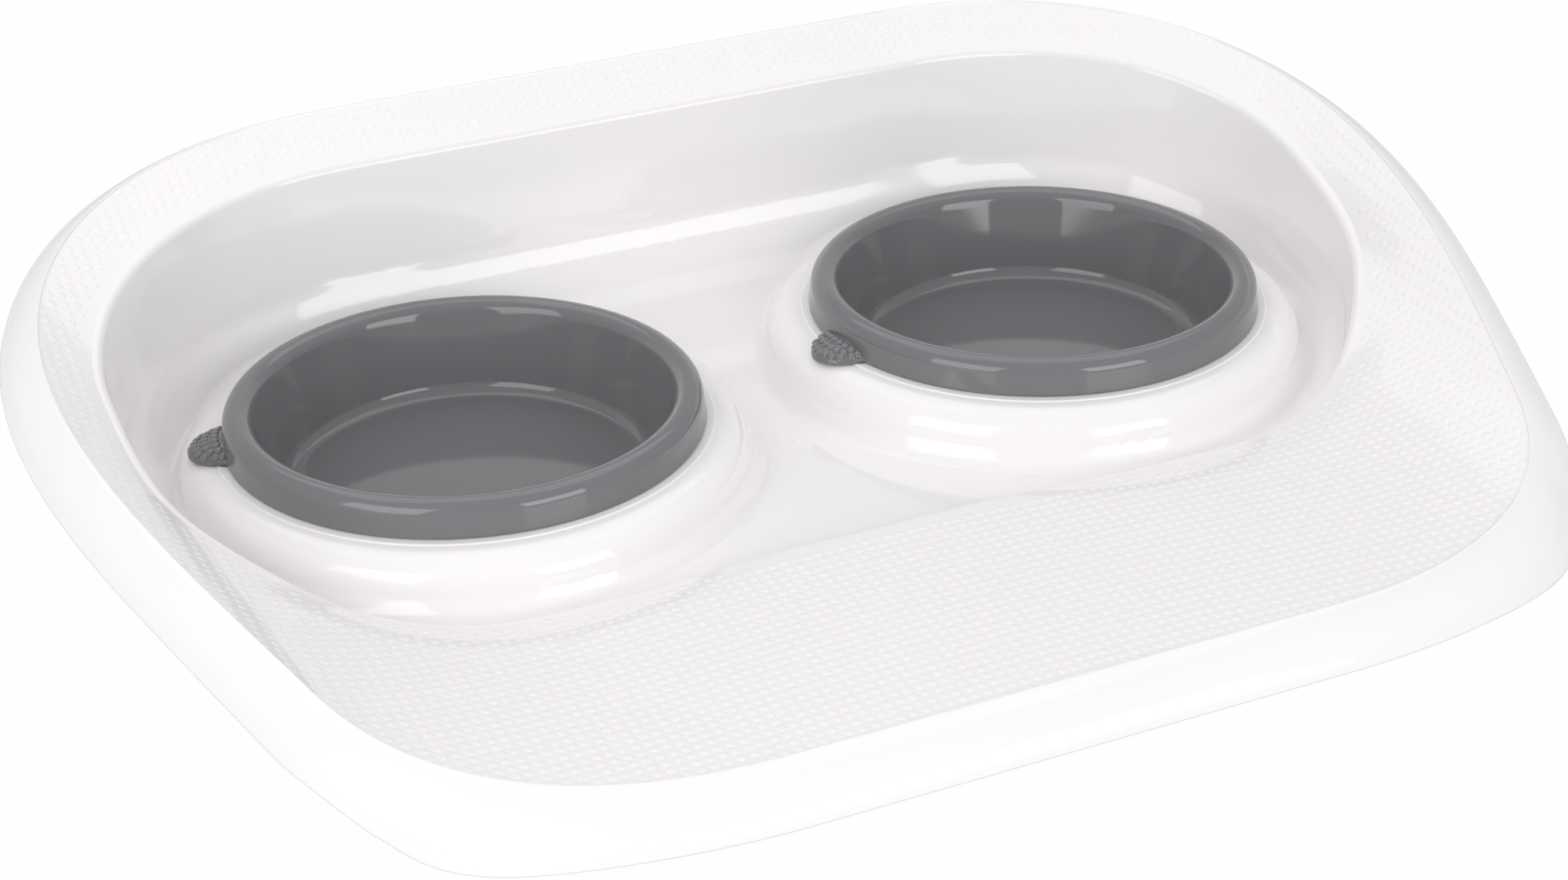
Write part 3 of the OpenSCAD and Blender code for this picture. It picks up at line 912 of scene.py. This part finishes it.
@dataclass
class LiftOutBowl:
    """A grey bowl: rolled lip, skirt on the ledge, steep wall, flat floor and a lift tab."""

    side: Side
    tab_deg: float
    radius: float = 72.2
    seat_gap: float = 0.3
    rise: float = 10.7
    lip_radius: float = 4.5
    lip_inset: float = 5.2
    floor_height: float = 5.2
    wall_deg: float = 75.0
    curve_radius: float = 5.0
    thickness: float = 2.2
    skirt_land: float = 0.7
    skirt_lean_deg: float = 7.5
    skirt_thickness: float = 2.0
    groove_up: float = 3.6
    collar_radius: float = 68.4
    collar_drop: float = 4.0
    collar_thickness: float = 1.8
    foot_ring: float = 2.0
    foot_ring_height: float = 0.8
    pole: float = 4.0
    edge_soft: float = 0.25
    curve_places: int = 12
    lip_places: int = 26
    under_places: int = 10
    turns: int = 256
    tab_reach: float = 10.0
    tab_half_width: float = 13.0
    tab_narrowing: float = 0.16
    tab_bite: float = 1.6
    tab_rise: float = 4.2
    tab_tip: float = 1.5
    tab_bulge: float = 0.5
    tab_fall: float = 1.1
    tab_side_share: float = 0.15
    tab_side_power: float = 0.3
    tab_round_power: float = 0.62
    tab_slope_power: float = 0.8
    tab_crown_power: float = 0.4
    tab_stations: int = 41
    tab_steps: int = 15
    scale_columns: int = 8
    scale_rows: int = 3
    scale_first: float = 0.3
    scale_pitch: float = 0.27
    scale_spread: float = 0.86
    scale_turns: int = 16

    @property
    def name(self) -> str:
        """The bowl's node in the frame."""
        return f"bowl_{self.side.name.lower()}"

    def profile(self) -> list[Pair]:
        """Radius and height along the section, from the inner floor over the lip to the foot."""
        lean, steep = math.radians(self.skirt_lean_deg), math.radians(self.wall_deg)
        lip = (self.radius - self.lip_inset, LEDGE_HEIGHT + self.rise - self.lip_radius)
        run = 1 / math.tan(steep)
        wall_top = (lip[0] - self.lip_radius * math.sin(steep),
                    lip[1] + self.lip_radius * math.cos(steep))
        corner = wall_top[0] - (wall_top[1] - self.floor_height) * run
        turn = (corner - self.curve_radius * math.tan(steep / 2),
                self.floor_height + self.curve_radius)
        skirt_z = LEDGE_HEIGHT + self.seat_gap
        outer = (wall_top[0] + self.thickness * math.sin(steep),
                 wall_top[1] - self.thickness * math.cos(steep))
        drop = self.lip_radius - self.thickness / 2
        under = (outer[0] - drop * run, outer[1] - drop)
        groove_z = LEDGE_HEIGHT + self.groove_up
        skirt_top = (lip[0] + self.lip_radius * math.cos(lean),
                     lip[1] + self.lip_radius * math.sin(lean))
        land = (self.radius, skirt_z + self.skirt_land)
        part = (groove_z - land[1]) / (skirt_top[1] - land[1])
        groove_r = land[0] + (skirt_top[0] - land[0]) * part - self.skirt_thickness

        base = self.floor_height - self.thickness
        inner = [(self.pole, self.floor_height), (turn[0] * 0.5, self.floor_height),
                 (turn[0] - 1.5, self.floor_height)]
        inner += arc(turn, self.curve_radius, -90, self.wall_deg - 90, self.curve_places)
        inner += between(inner[-1], wall_top, (0.06, 0.3, 0.65, 0.94))
        over = arc(lip, self.lip_radius, 90 + self.wall_deg, self.skirt_lean_deg, self.lip_places)
        rim, soft = self.radius, self.edge_soft
        skirt = between(over[-1], land, (0.08, 0.5, 0.95))
        skirt += [(rim, land[1] - 0.1), (rim, skirt_z + soft),
                  (rim - soft * 0.3, skirt_z + soft * 0.3), (rim - soft, skirt_z)]
        inside, collar = rim - self.skirt_thickness, self.collar_radius
        bore, end = collar - self.collar_thickness, LEDGE_HEIGHT - self.collar_drop
        below = [(inside + soft, skirt_z), (inside, skirt_z + soft), (groove_r, groove_z),
                 (collar, groove_z), (collar, end + soft), (collar - soft, end),
                 (bore, end), (bore, under[1]), under]
        outside = arc(turn, self.curve_radius + self.thickness, self.wall_deg - 90, -90,
                      self.under_places)
        foot, stand = turn[0] - self.foot_ring, base - self.foot_ring_height
        ring = [(turn[0], stand), (foot, stand), (foot, base), (self.pole, base)]
        return inner + over + skirt + below + outside + ring

    def tab(self) -> Piece:
        """Models the lift tab: a rounded ear that slopes outwards, with rows of raised scales."""
        across = np.linspace(-1, 1, self.tab_stations)
        span, bite = np.maximum(1 - across * across, 0), self.tab_bite
        side = self.tab_side_share + (1 - self.tab_side_share) * span**self.tab_side_power
        reach = self.tab_reach * span**self.tab_round_power
        crown = self.tab_rise * span**self.tab_crown_power
        upper, lower = [], []
        for s in np.arange(self.tab_steps) / (self.tab_steps - 1):
            y = across * (self.tab_half_width * (1 - self.tab_narrowing * s))
            x = np.sqrt(self.radius**2 - y * y) - bite + (reach + bite) * s
            under = LEDGE_HEIGHT + self.seat_gap - self.tab_fall * s * span
            rise = crown * (1 - s) ** self.tab_slope_power + self.tab_tip * s
            bulge = self.tab_bulge * math.sin(math.pi * s) * span
            upper.append(np.column_stack([x, y, under + rise * side + bulge]))
            lower.append(np.column_stack([x, y, under]))
        front = np.array(upper + lower[::-1])
        rings = [front[:, c] for c in range(self.tab_stations)]
        loft = Loft(f"{self.name}_tab", rings[0], filled=True)
        for ring in rings[1:]:
            loft.grow(ring)
        loft.close()
        ear = loft.done()
        close_up(ear, merge=0.02, angle=60)
        self.add_scales(ear, np.array(upper))
        return ear

    def add_scales(self, ear: Piece, face: Array) -> None:
        """Adds rows of raised round scales to the tab, whose upper face comes as rows of places."""
        steps, columns = face.shape[:2]
        scales = []
        for row in range(self.scale_rows):
            s = self.scale_first + self.scale_pitch * row
            count = self.scale_columns - (row == self.scale_rows - 1)
            for c in range(count):
                a = (c - (count - 1) / 2) / (self.scale_columns / 2) * self.scale_spread
                i = min(int(s * (steps - 1)), steps - 2)
                j = min(int((a + 1) / 2 * (columns - 1)), columns - 2)
                fs, fa = s * (steps - 1) - i, (a + 1) / 2 * (columns - 1) - j
                spot = ((face[i, j] * (1 - fs) + face[i + 1, j] * fs) * (1 - fa)
                        + (face[i, j + 1] * (1 - fs) + face[i + 1, j + 1] * fs) * fa)
                along, aside = face[i + 1, j] - face[i, j], face[i, j + 1] - face[i, j]
                normal = np.cross(along, aside)
                normal = normal / np.linalg.norm(normal) * (1 if normal[2] > 0 else -1)
                dome = lathe("scale", SCALE_SECTION, self.scale_turns)
                turn = Vector(normal).to_track_quat("Z", "Y").to_matrix().to_4x4()
                dome.data.transform(Matrix.Translation(Vector(spot * MM)) @ turn)
                close_up(dome)
                scales.append(dome)
        join(ear, scales)

    def build(self) -> Piece:
        """Models the bowl in its seat."""
        bowl = lathe(f"{self.name}_moulding", self.profile(), self.turns)
        close_up(bowl)
        join(bowl, [self.tab()])
        turn = Matrix.Rotation(math.radians(self.tab_deg), 4, "Z")
        spot = Vector((self.side.value * SEAT[0] * MM, SEAT[1] * MM, 0))
        bowl.data.transform(Matrix.Translation(spot) @ turn)
        return bowl


@dataclass(frozen=True)
class SoftBox:
    """A rectangular studio lamp that looks at a point."""

    name: str
    place: tuple[float, float, float]
    size: Pair
    watts: float
    target: tuple[float, float, float] = (0, 0, 0.03)

    def build(self) -> None:
        """Makes the lamp."""
        data = bpy.data.lights.new(self.name, "AREA")
        data.shape = "RECTANGLE"
        data.size, data.size_y = self.size
        data.energy = self.watts
        lamp = put(self.name, data)
        lamp.location = self.place
        way = Vector(self.target) - Vector(self.place)
        lamp.rotation_euler = way.to_track_quat("-Z", "Y").to_euler()


@dataclass
class Studio:
    """The pale floor, the soft light and the camera at the photograph's angle."""

    photo_width: float = 2000.0
    focal_px: float = 3825.36
    pitch: float = 0.477
    yaw: float = 0.428
    roll: float = -0.022
    eye: tuple[float, float, float] = (-0.3425, -0.7255, 0.4284)
    sensor: float = 36.0
    clip: Pair = (0.02, 50.0)
    floor_size: float = 12.0
    floor_cells: int = 8
    floor_white: float = 0.98
    world_strength: float = 0.64
    lamps: tuple[SoftBox, ...] = (
        SoftBox("right_softbox", (0.35, -1.21, 0.46), (0.7, 0.62), 4.6),
        SoftBox("left_softbox", (-0.96, -0.51, 0.54), (0.75, 0.8), 4.6),
        SoftBox("overhead_softbox", (0.23, 0.64, 1.45), (1.7, 1.3), 6.0),
    )

    def camera(self) -> None:
        """Makes the camera from the angles that the bowls' circles gave."""
        cp, sp = math.cos(self.pitch), math.sin(self.pitch)
        cy, sy = math.cos(self.yaw), math.sin(self.yaw)
        ahead = Vector((sy * cp, cy * cp, -sp))
        right = Vector((cy, -sy, 0))
        up = right.cross(ahead)
        cr, sr = math.cos(self.roll), math.sin(self.roll)
        side, top = right * cr + up * sr, up * cr - right * sr
        data = bpy.data.cameras.new("camera")
        data.sensor_width = self.sensor
        data.lens = self.focal_px / self.photo_width * self.sensor
        data.clip_start, data.clip_end = self.clip
        camera = put("camera", data)
        frame = Matrix((side, top, -ahead)).transposed().to_4x4()
        frame.translation = Vector(self.eye)
        camera.matrix_world = frame
        bpy.context.scene.camera = camera

    @staticmethod
    def mix(out: Node, share: Socket, *shaders: Node) -> None:
        """Ends a tree with two shaders, of which the second is seen for a given share."""
        tree = out.id_data
        mix = add_node(tree, "MixShader", {"Fac": share})
        for k, shader in enumerate(shaders, 1):
            tree.links.new(shader.outputs[0], mix.inputs[k])
        tree.links.new(mix.outputs["Shader"], out.inputs["Surface"])

    def floor(self) -> None:
        """Makes a wide pale floor that the camera sees almost white, with a trace of shadow."""
        clear_selection()
        bpy.ops.mesh.primitive_grid_add(x_subdivisions=self.floor_cells,
                                        y_subdivisions=self.floor_cells, size=self.floor_size)
        floor = bpy.context.active_object
        floor.name = "studio_floor"
        material, tree, out = fresh_material("matt_white_floor")
        matt = add_node(tree, "BsdfDiffuse", inputs={"Color": linear("e9e9ea")})
        glow = add_node(tree, "Emission", inputs={"Color": linear("ffffff"), "Strength": 1.0})
        path = add_node(tree, "LightPath")
        seen = add_node(tree, "Math", operation="MULTIPLY")
        tree.links.new(path.outputs["Is Camera Ray"], seen.inputs[0])
        seen.inputs[1].default_value = self.floor_white
        self.mix(out, seen.outputs[0], matt, glow)
        floor.data.materials.append(material)

    def world(self) -> None:
        """Makes the surround: even soft light, and white where the camera sees it."""
        world = bpy.data.worlds.new("white_surround")
        bpy.context.scene.world = world
        world.use_nodes = True
        tree = world.node_tree
        tree.nodes.clear()
        out = add_node(tree, "OutputWorld")
        soft = add_node(tree, "Background",
                        inputs={"Color": linear("f6f6f8"), "Strength": self.world_strength})
        white = add_node(tree, "Background", inputs={"Color": linear("ffffff"), "Strength": 1.0})
        path = add_node(tree, "LightPath")
        self.mix(out, path.outputs["Is Camera Ray"], soft, white)

    def build(self) -> None:
        """Sets up the whole studio."""
        self.camera()
        self.world()
        self.floor()
        for lamp in self.lamps:
            lamp.build()
        bpy.context.scene.view_settings.view_transform = "Standard"


def dress(piece: Piece, material: bpy.types.Material, body: Body) -> None:
    """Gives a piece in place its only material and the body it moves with."""
    piece.data.materials.clear()
    piece.data.materials.append(material)
    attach(piece, body.value)


def main() -> None:
    """Builds the pieces in order and reports each one."""
    logging.basicConfig(level=logging.INFO, format="%(name)s: %(message)s")
    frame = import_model()
    Studio().build()
    gloss, dots = TRAY_GLOSS.build(), TRAY_DOTS.build()
    grey, rubber = BOWL_GLOSS.build(), FOOT_RUBBER.build()

    tray = FeedingTray()
    moulding = tray.build()
    grip = GripDots(tray).build(moulding)
    tray.add_posts(moulding)
    dress(moulding, gloss, Body.TRAY)
    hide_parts("tray")
    dress(grip, dots, Body.TRAY)
    dress(tray.gate_mark(), gloss, Body.TRAY)
    LOG.info("tray: %d faces", len(moulding.data.polygons))

    for side, degrees, body in ((Side.LEFT, 167.0, Body.LEFT_BOWL),
                                (Side.RIGHT, 186.0, Body.RIGHT_BOWL)):
        bowl = LiftOutBowl(side, degrees)
        piece = bowl.build()
        dress(piece, grey, body)
        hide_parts(bowl.name)
        LOG.info("%s: %d faces", bowl.name, len(piece.data.polygons))

    for name, node in frame["nodes"].items():
        if name.startswith("foot_"):
            node.data.materials.clear()
            node.data.materials.append(rubber)

    clear_selection()


if __name__ == "__main__":
    main()
